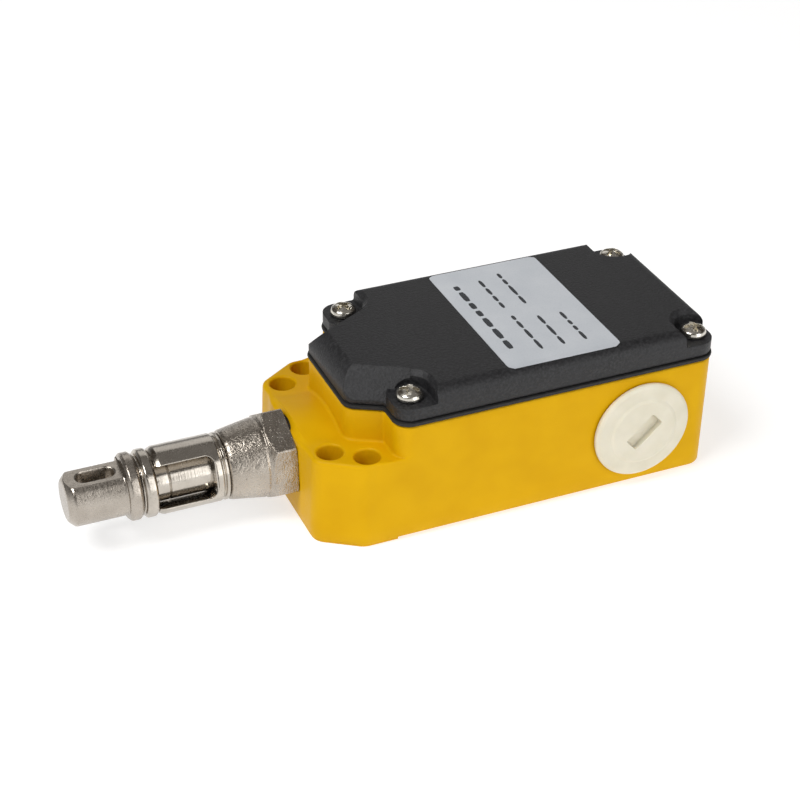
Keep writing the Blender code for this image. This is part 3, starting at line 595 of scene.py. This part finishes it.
def bore(centre, along, radius, low, high, steps=72):
    """A plain round hole."""
    return ring_solid([(radius, low), (radius, high)], steps, centre=centre, along=along)


def ear_hole(x, y):
    """A mounting hole whose mouth is rounded over, as the enamel leaves it."""
    soft = 0.7
    mouth = [(EAR_HOLE_R + soft * (1 - sin(turn)), EAR_Z - soft + soft * cos(turn) + 0.02)
             for turn in np.linspace(0, pi / 2, 6)]
    profile = [(EAR_HOLE_R + soft, EAR_Z + 4)] + mouth + [(EAR_HOLE_R, -2.0)]
    return ring_solid(profile, 72, centre=(x, y), along="Z")


# =================================================================================================
# cover, gasket, label
# =================================================================================================
def cover_height(inset):
    """Height of the cover's top at a distance in from the side wall: a quarter ellipse, then flat."""
    reach, drop = SHOULDER
    share = np.clip((reach - inset) / reach, 0, 1)
    return COVER_Z[1] - drop + drop * np.sqrt(1 - share ** 2)


def make_cover():
    """Rings up the skirt and over the rounded edge.  The edge is an ellipse along the sides and a flatter
    superellipse over the narrow end; pockets, slanted facets and the room inside are carved."""
    plain = body_outline()
    brow = smooth((6.0 - plain[:, 0]) / 3.5)
    blend = brow[:, None]
    rows = [level(body_outline(0.25), COVER_Z[0]), level(plain, COVER_Z[0] + 0.6)]
    for turn in np.linspace(0, pi / 2, 15):
        side_in, side_up = SHOULDER[0] * (1 - cos(turn)), SHOULDER[1] * sin(turn)
        brow_in, brow_up = BROW[0] * (1 - cos(turn) ** BROW_POWER), BROW[1] * sin(turn) ** BROW_POWER
        flat = body_outline(side_in) * (1 - blend) + body_outline(brow_in) * blend
        side_z, brow_z = COVER_Z[1] - SHOULDER[1] + side_up, COVER_Z[1] - BROW[1] + brow_up
        rows.append(level(flat, side_z * (1 - brow) + brow_z * brow))
    under = COVER_Z[0] - 3
    cuts = [facet(side, part) for side in (-1, 1) for part in (False, True)]
    cuts += [pocket(x, y) for x, y in SCREWS]
    cuts += [slab((23.5, 89.2), (-24.0, 24.0), (under, 40.4), 2.0),
             slab((13.0, 98.8), (-14.5, 14.5), (under, 41.6), 2.0),
             slab((6.5, 20.0), (-6.5, 6.5), (under, 40.0), 1.0)]
    cuts += [bore((x, y), "Z", 2.3, 30, 42) for x, y in SCREWS]
    return piece("cover_moulding", carved(*loft(rows), cuts), "case", BLACK_ABS, ["cover"], 30)


def facet(side, beside_pocket):
    """Block whose underside is the slanted face beside the narrow end.  Beside the pocket it only
    reaches down to the pocket's floor."""
    deep = 30
    run = np.array([7.4, side * 4.0, 0.0])
    along = run / np.linalg.norm(run)
    inward = np.array([along[1] * side, -along[0] * side, 0.0])
    low = np.array([1.8, side * 14.0, COVER_Z[1] - FACET_DROP])
    rise = inward * FACET_RUN + np.array([0, 0, FACET_DROP])
    foot_share = (LEDGE_Z - low[2]) / FACET_DROP if beside_pocket else -0.5
    corners = []
    for length in (9.6, 15.6) if beside_pocket else (-14.0, 9.9):
        foot, top = low + along * length + rise * foot_share, low + along * length + rise * 1.6
        corners.append([foot, top, top - inward * deep, foot - inward * deep])
    return loft(corners)


def u_shape(x, y, radius, steps=40):
    """Half circle round a screw, open towards its side, with straight flanks out past the cover."""
    side = 1 if y > 0 else -1
    turn = np.linspace(0, pi, steps)
    round_end = np.column_stack([x + radius * np.cos(turn), y - side * radius * np.sin(turn)])
    reach = side * (HALF_W + 6)
    tail = np.array([[x - radius, reach], [x + radius, reach]])
    return np.concatenate([round_end, tail])


def pocket(x, y):
    """Screw pocket: rounded floor edge, upright wall, and a flared rim as steep as the slanted face."""
    wide, beyond = POCKET_R + 1.3, 2.0
    rim = COVER_Z[1] - (wide - POCKET_R) * FACET_DROP / FACET_RUN
    rings = [(POCKET_R - 0.5, LEDGE_Z), (POCKET_R - 0.15, LEDGE_Z + 0.15), (POCKET_R, LEDGE_Z + 0.5),
             (POCKET_R, rim), (wide + beyond, COVER_Z[1] + beyond * FACET_DROP / FACET_RUN)]
    return loft([level(u_shape(x, y, radius), z) for radius, z in rings])


def make_gasket():
    """Rubber lip between cover and case: a rounded bead outside, a flat strip inside."""
    low, high = limits("cover_gasket", 2)
    proud, mid = -0.37, (low + high) / 2
    section = [(2.8, low), (0.2, low), (proud + 0.1, low + 0.15), (proud, mid), (proud + 0.1, high - 0.15),
               (0.2, high), (2.8, high)]
    rings = [level(body_outline(inset), z) for inset, z in section]
    return built("gasket_lip", *loft(rings, True), "case", RUBBER, "seal", ["cover_gasket"])


def on_cover(x, y, lift):
    """Points on the cover's top, lifted: the height follows the rounded edge."""
    return np.stack([x, y, cover_height(HALF_W - np.abs(y)) + lift], -1)


def label_sheet(x, y, corner, lift, thick, across=90, along=60):
    """Rounded rectangle laid over the cover: a grid squeezed at its ends to round the corners, closed
    underneath."""
    length = y[1] - y[0]
    run = np.linspace(0, 1, along) * length
    close = np.clip(1 - np.minimum(run, length - run) / corner, 0, 1)
    half = (x[1] - x[0]) / 2 - corner * (1 - np.sqrt(1 - close ** 2))
    grid_x = (x[0] + x[1]) / 2 + half[:, None] * np.linspace(-1, 1, across)[None, :]
    grid_y = np.repeat((y[0] + run)[:, None], across, 1)
    top, low = on_cover(grid_x, grid_y, lift + thick), on_cover(grid_x, grid_y, lift)
    return loft(np.concatenate([top, low[:, ::-1]], 1))


def make_label():
    """Foil nameplate with plain printed bars, one for each word's place, standing for its lines of print.
    A line is a place along X, a height of print and its runs across the plate."""
    built("label_foil", *label_sheet(LABEL_X, LABEL_Y, 1.6, 0.02, 0.1), "case", FOIL, "label", ["nameplate"])
    rng = np.random.default_rng(7)
    lines = [(46.0, 3.4, [(-17.5, 18.5)]), (53.4, 2.1, [(-20.5, -2.5), (2.0, 19.0)]),
             (59.8, 2.1, [(-20.5, -5.0), (2.0, 21.0)]), (66.2, 2.1, [(-20.5, -3.0)])]
    verts, faces, used = [], [], 0
    for x, tall, runs in lines:
        half = tall * 0.24
        for start, stop in runs:
            y = start
            while y < stop - 2.0:
                wide = min(rng.uniform(2.2, 5.5), stop - y)
                bar, quads = label_sheet((x - half, x + half), (y, y + wide), 0.25, 0.12, 0.02, 2, 5)
                faces += [[k + used for k in quad] for quad in quads]
                verts.append(bar)
                used += len(bar)
                y += wide + tall * 0.35
    mesh = bpy.data.meshes.new("label_print")
    mesh.from_pydata((np.concatenate(verts) * MM).tolist(), [], faces)
    tidy(mesh)
    return piece("label_print", mesh, "case", INK)


# =================================================================================================
# screws, plug
# =================================================================================================
def cross_ring(size, arm, z, place, turn):
    """Outline of a cross recess: four arms of half width arm reaching size."""
    s, a = size, arm
    flat = np.array([(s, -a), (s, a), (a, a), (a, s), (-a, s), (-a, a), (-s, a), (-s, -a), (-a, -a),
                     (-a, -s), (a, -s), (a, -a)])
    spin = np.array([[cos(turn), sin(turn)], [-sin(turn), cos(turn)]])
    return level(flat @ spin + np.array(place), z)


def make_screw(name, node, turn):
    """Cross-recessed pan head and shank, sized from its CAD node.  The cross is drawn a little deeper and
    wider than life, so that it shows."""
    low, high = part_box(node)
    x, y = (low.x + high.x) / 2 / MM, (low.y + high.y) / 2 / MM
    head_r = (high.x - low.x) / 2 / MM
    top, bottom = high.z / MM, low.z / MM
    tall = head_r * 0.7
    seat = top - tall
    shank_r = head_r * 0.57
    profile = soft_profile([(0.0, top), (head_r * 0.5, top - 0.02), (head_r * 0.93, top - tall * 0.42),
                            (head_r, seat + tall * 0.28), (head_r, seat), (shank_r, seat),
                            (shank_r, bottom + 0.6), (0.0, bottom)],
                           [0, head_r * 1.2, 0.7, 0.3, 0.12, 0.05, 0.2, 0])
    depth = tall * 0.75
    cross = loft([cross_ring(head_r * wide, head_r * arm, top - depth * down, (x, y), turn)
                  for wide, arm, down in ((0.3, 0.12, 1.0), (0.62, 0.16, 0.75), (0.78, 0.21, -0.15))])
    mesh = carved(*ring_solid(profile, 64, centre=(x, y), along="Z"), [cross])
    return piece(name, mesh, "case", ZINC, [node])


def make_plug():
    """Slotted nylon blanking plug: flange with a rounded edge, a raised disc and a thread."""
    face = HALF_W + 0.3
    top = -limits("cable_entry_plug", 1)[0]
    radius = (limits("cable_entry_plug", 0)[1] - limits("cable_entry_plug", 0)[0]) / 2
    thread_r, thread_end = 10.0, face - 9.2
    profile = soft_profile([(0.0, top), (9.0, top), (9.8, top - 0.45), (13.1, top - 0.6),
                            (radius, top - 1.2), (radius, face), (thread_r, face),
                            (thread_r, thread_end + 0.8), (9.2, thread_end), (0.0, thread_end)],
                           [0, 0.6, 0.6, 1.2, 0.5, 0.25, 0.1, 0.2, 0.2, 0])
    points, quads = slot_solid(10.2, 4.6, top - 1.7, top + 2)
    spin = radians(43)
    c, s = cos(spin), sin(spin)
    placed = np.stack([PLUG_X + points[:, 0] * c - points[:, 1] * s, -points[:, 2],
                       PLUG_Z + points[:, 0] * s + points[:, 1] * c], -1)
    mesh = carved(*ring_solid(profile, 144, centre=(PLUG_X, PLUG_Z), along="Y"), [(placed, quads)])
    return piece("blanking_plug", mesh, "case", NYLON, ["cable_entry_plug"])


def slot_solid(length, width, low, high):
    """A straight slot with small corner radii, slightly narrower along its floor."""
    rings = []
    for z, grow in ((low, -0.25), (low + 0.25, 0.0), (high, 0.0)):
        half, wide = length / 2 + grow, width / 2 + grow
        flat = arcs([(-half, -wide), (half, -wide), (half, wide), (-half, wide)], [0.7] * 4, 6).reshape(-1, 2)
        rings.append(level(flat, z))
    return loft(rings)


# =================================================================================================
# gland, sleeve, rod
# =================================================================================================
def hexagon(angle):
    """Radius of a hexagon at an angle: half its width over the cosine of the angle from the middle of the
    nearest side, and no more than a circle that takes a little off the corners."""
    local = (angle - HEX_TURN + pi / 6) % (pi / 3) - pi / 6
    return np.minimum(HEX_FLATS / 2 / np.cos(local), HEX_FLATS / sqrt(3) - HEX_CUT)


def make_gland():
    """One turned surface.  Its radius is the hexagon's along the nut, cut back by a cone at both ends, and
    then a profile's: down the cone, into the sleeve's seat, along the rod's bore and back up the thread."""
    steps = 360
    angle = np.linspace(0, 2 * pi, steps, endpoint=False)
    low, high = HEX_X
    x = np.concatenate([np.linspace(high, high - 0.5, 6), np.linspace(low + 1.3, low, 16)])
    front = 11.0 + (x - low) / 0.62
    back = 12.3 + (high - x) / 0.8
    radius = np.minimum(hexagon(angle)[None, :], np.minimum(front, back)[:, None])
    rings = [np.stack([np.full(steps, station), r * np.cos(angle), AXIS_Z + r * np.sin(angle)], -1)
             for station, r in zip(x, radius)]
    end, mouth, seat, wiper, inner = GLAND_END, -27.7, -17.5, -10.0, 6.5
    cone = soft_profile([(11.0, low), (10.95, low - 0.15), (10.5, low - 0.55), (10.65, low - 1.3),
                         (9.3, end + 1.1), (9.05, end + 0.4), (8.6, end + 0.1), (7.35, mouth), (7.35, seat),
                         (5.8, seat), (5.8, wiper), (4.3, wiper), (4.3, inner), (7.4, inner), (8.0, 5.7),
                         (8.0, high)],
                        [0, 0.05, 0.3, 0.5, 0.5, 0.3, 0.1, 0.1, 0, 0, 0, 0, 0, 0, 0, 0])
    rings += list(turned(cone[1:], steps))
    built("gland_casting", *loft(rings, True), "case", CAST_NICKEL, "actuator", ["gland_body"], 24)


def window_outline(left, grow):
    """Outline of the milled window: open to the left, round corners at its closed end."""
    half, end, corner = 5.75 + grow, -31.6 + grow, 2.0 + grow
    return soft_profile([(left, -half), (end, -half), (end, half), (left, half)], [0, corner, corner, 0], 8)


def make_sleeve():
    """Turned sleeve with a collar, a groove and bevelled ends, less the milled window.  The window's cutter
    goes right through, and widens at the surface on both sides, which chamfers the window's edge."""
    left, right = SLEEVE_X
    bore_r, spigot = 5.8, -19.0
    profile = soft_profile([(bore_r, spigot), (7.0, spigot), (7.0, right), (8.5, right),
                            (8.95, right - 0.4), (8.95, -28.9), (8.35, -29.25), (8.35, -29.5),
                            (SLEEVE_R, -29.95), (SLEEVE_R, left + 1.4), (8.6, left + 0.5), (8.2, left),
                            (bore_r, left)],
                           [0.2, 0.2, 0, 0.2, 0.2, 0.15, 0.1, 0.1, 0.25, 1.0, 0.4, 0.2, 0.2])
    rings = []
    for side in (-1, 1):
        for beyond, grow in ((12.0, 0.35), (0.15, 0.35), (-0.25, 0.0))[::-side]:
            flat = window_outline(left - 5, grow)
            across = flat[:, 1]
            depth = side * (np.sqrt(SLEEVE_R ** 2 - across ** 2) + beyond)
            rings.append(np.column_stack([flat[:, 0], depth * cos(WINDOW_TURN) - across * sin(WINDOW_TURN),
                                          AXIS_Z + depth * sin(WINDOW_TURN) + across * cos(WINDOW_TURN)]))
    mesh = carved(*ring_solid(profile, 192, True), [loft(rings)])
    return piece("indicator_sleeve", mesh, "case", TURNED_NICKEL, ["window_sleeve"])


def make_rod():
    """The pull rod with its scribed ring, the lock ring behind the eye, and the eye."""
    ring_left, ring_right = RING_X
    inner, shoulder, threaded = 44.5, -12.0, -54.2
    shaft = soft_profile([(0, inner), (2.6, inner), (3.0, 43.9), (3.0, 35.0), (4.0, 35.0), (4.0, shoulder),
                          (5.5, shoulder), (5.5, SCRIBE_X + 0.3), (5.1, SCRIBE_X), (5.5, SCRIBE_X - 0.3),
                          (5.5, ring_right), (4.0, ring_right), (4.0, threaded), (0, threaded)],
                         [0, 0.2, 0.2, 0, 0, 0.1, 0.3, 0.05, 0.1, 0.05, 0.2, 0, 0.2, 0])
    built("rod_shaft", *ring_solid(shaft, 96), "pull_assembly", TURNED_NICKEL, "actuator", ["pull_rod"])
    lock = soft_profile([(4.3, ring_right), (8.4, ring_right), (9.0, -47.5), (9.0, -49.4), (8.4, -50.0),
                         (7.6, -50.1), (7.6, ring_left), (4.3, ring_left)],
                        [0.1, 0.2, 0.4, 0.4, 0.2, 0.1, 0.1, 0.1])
    built("rod_ring", *ring_solid(lock, 160, True), "pull_assembly", TURNED_NICKEL, "actuator",
          ["lock_ring"])
    tip, right = EYE_X
    eye = soft_profile([(0.0, tip), (5.4, tip), (7.1, tip + 1.7), (7.1, right - 3.5), (8.1, right - 3.5),
                        (8.9, right - 2.7), (8.9, right - 0.8), (8.2, right), (4.3, right),
                        (4.3, right - 4.0), (0.0, right - 4.0)],
                       [0, 1.3, 1.3, 0.5, 0.3, 0.5, 0.5, 0.2, 0.1, 0, 0])
    flat = slab((tip - 3, right - 3.3), (-12, 12), (AXIS_Z + 5.9, AXIS_Z + 15))
    middle_x, length, width = -61.0, 9.9, 4.8
    half, end_r = (length - width) / 2, width / 2
    turn = np.linspace(-pi / 2, pi / 2, 24)
    right_end = np.column_stack([middle_x + half + end_r * np.cos(turn), end_r * np.sin(turn)])
    left_end = np.column_stack([middle_x - half - end_r * np.cos(turn), -end_r * np.sin(turn)])
    stadium = np.concatenate([right_end, left_end])
    centre = np.array([middle_x, 0.0])
    rows = []
    for z, grow in ((-12, 1.1), (-6.6, 1.1), (-5.9, 1.0), (5.55, 1.0), (5.9, 1.08), (12, 1.3)):
        rows.append(level(centre + (stadium - centre) * grow, AXIS_Z + z))
    mesh = carved(*ring_solid(eye, 160), [flat, loft(rows)])
    piece("eye_end", mesh, "pull_assembly", SATIN_NICKEL, ["rope_eye"])


def coil(name, wire, mean, turns, start, stop):
    """Compression spring: a circle of the wire's radius carried along a helix whose pitch closes up over
    the first and last turn.  Mean is the helix's radius."""
    count = int(turns * 36)
    done = np.linspace(0, turns, count)
    closed = 0.85
    free = np.clip(done - closed, 0, turns - 2 * closed) / (turns - 2 * closed)
    shut = np.minimum(done, closed) + np.clip(done - turns + closed, 0, closed)
    ends = wire * 2.15
    span = stop - start - 2 * wire - 2 * closed * ends
    x = start + wire + shut * ends + free * span
    angle = 2 * pi * done
    centre = np.stack([x, mean * np.cos(angle), AXIS_Z + mean * np.sin(angle)], -1)
    ahead = np.gradient(centre, axis=0)
    ahead /= np.linalg.norm(ahead, axis=1)[:, None]
    out = np.stack([np.zeros(count), np.cos(angle), np.sin(angle)], -1)
    side = np.cross(ahead, out)
    side /= np.linalg.norm(side, axis=1)[:, None]
    turn = np.linspace(0, 2 * pi, 12, endpoint=False)
    cosine, sine = np.cos(turn)[None, :, None], np.sin(turn)[None, :, None]
    rings = centre[:, None] + wire * (cosine * out[:, None] + sine * side[:, None])
    return built(name, *loft(rings), None, SPRING_STEEL, "spring")


def make_springs():
    """Both springs, each a plain coil between the ends of its CAD node, on neither the case nor the body that
    it pushes.  Fixed, the end that stays (0 for the lower X, 1 for the higher), is not used."""
    springs = (("return_coil", "return_spring", 0.7, 6.2, "pull_assembly", 0),
               ("carrier_coil", "carrier_spring", 0.35, 2.9, "contact_carriage", 1))
    for name, node, wire, mean, body, fixed in springs:
        ends = limits(node, 0)
        obj = coil(name, wire, mean, 8, ends[0] + 0.05, ends[1] - 0.05)
        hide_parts(node)
        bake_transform(obj)


make_housing()
make_cover()
make_gasket()
make_label()
for number, turn in zip(range(1, 5), (62, 20, 75, 40)):
    make_screw(f"cover_bolt_{number}", f"cover_screw_{number}", radians(turn))
make_plug()
make_gland()
make_sleeve()
make_rod()
make_springs()

TERMINALS = range(1, 5)
INSIDE = {
    RUBBER: ["entry_seal", "gland_seal", "rod_wiper"],
    ZINC: ["spring_seat", "rod_nut", "earth_screw", "block_screw_1", "block_screw_2"]
          + [f"terminal_screw_{k}" for k in TERMINALS],
    PHENOLIC: ["contact_base"],
    PALE_LID: ["contact_cover"],
    WHITE_POM: ["contact_carrier"],
    BRASS: ["bridge_break", "bridge_make", "earth_washer"] + [f"terminal_{k}" for k in TERMINALS]}
for finish, names in INSIDE.items():
    for node_name in names:
        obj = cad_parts[node_name]
        if not obj.data.materials:
            obj.data.materials.append(finish)
        for each in obj.material_slots:
            each.material = finish


# =================================================================================================
# floor, light, camera
# =================================================================================================
def make_floor():
    """Plain white paper floor."""
    made, _, shader, _ = surface("white_paper", IOR=1.5, Roughness=0.9)
    shader.inputs["Base Color"].default_value = tint("#BEBEBE")
    shader.inputs["Emission Color"].default_value = tint("#FFFFFF")
    shader.inputs["Emission Strength"].default_value = 0.66
    size = 4000.0
    flat = np.array([(-size, -size, 0), (size, -size, 0), (size, size, 0), (-size, size, 0)])
    mesh = bpy.data.meshes.new("floor")
    mesh.from_pydata((flat * MM).tolist(), [], [(0, 1, 2, 3)])
    mesh.materials.append(made)
    obj = bpy.data.objects.new("floor", mesh)
    SCENE.collection.objects.link(obj)


def lamp(name, place, target, size, power):
    """Soft box at a place, facing a target, all in metres, with its power in watts."""
    light = bpy.data.lights.new(name, "AREA")
    light.shape, light.size, light.size_y = "RECTANGLE", size[0], size[1]
    light.energy = power
    obj = bpy.data.objects.new(name, light)
    obj.location = place
    obj.rotation_mode = "QUATERNION"
    obj.rotation_quaternion = (Vector(place) - Vector(target)).to_track_quat("Z", "Y")
    SCENE.collection.objects.link(obj)


def make_camera():
    """Camera turned by azimuth and elevation about the object, then rolled about its own axis."""
    azimuth, elevation, roll = radians(-23.596), radians(32.989), radians(0.8)
    back = Vector((sin(azimuth) * cos(elevation), -cos(azimuth) * cos(elevation), sin(elevation)))
    right = Vector((cos(azimuth), sin(azimuth), 0))
    up = back.cross(right)
    across = right * cos(roll) + up * sin(roll)
    upwards = up * cos(roll) - right * sin(roll)
    data = bpy.data.cameras.new("camera")
    data.lens, data.sensor_width, data.clip_start, data.clip_end = 81.84, 36.0, 0.01, 100.0
    obj = bpy.data.objects.new("camera", data)
    turn = Matrix((across, upwards, back)).transposed().to_4x4()
    obj.matrix_world = Matrix.Translation((-0.14018, -0.37250, 0.28740)) @ turn
    SCENE.collection.objects.link(obj)
    SCENE.camera = obj


def make_studio():
    """Room round the table: white screens up to a low height, dark above them."""
    world = bpy.data.worlds.new("studio")
    world.use_nodes = True
    tree = world.node_tree
    direction = put(tree, "TexCoord").outputs["Generated"]
    parts = put(tree, "SeparateXYZ", [(direction, 0)])
    rise = ramp(tree, parts.outputs[2], 0.16, 0.42)
    behind = ramp(tree, parts.outputs[1], -0.3, 0.5)
    screens = blend_colours(tree, behind, "#FFFFFF", "#9A9A9A")
    tree.links.new(blend_colours(tree, rise, screens, "#4A443E"), tree.nodes["Background"].inputs["Color"])
    tree.nodes["Background"].inputs["Strength"].default_value = 0.8
    SCENE.world = world


CASE_MIDDLE = (0.03, 0, 0.02)
make_floor()
lamp("top", (0.2, 0.1, 1.1), (0.1, 0.0, 0.0), (1.6, 1.0), 0.8)
lamp("key", (-0.72, -0.2, 1.2), CASE_MIDDLE, (0.6, 0.6), 13)
lamp("front", (0.5, -1.05, 0.58), CASE_MIDDLE, (0.8, 1.1), 5.6)
lamp("back", (0.5, 1.2, 0.8), CASE_MIDDLE, (1.2, 0.8), 2.4)
make_camera()
make_studio()
SCENE.view_settings.view_transform = "Standard"

bpy.context.view_layer.update()
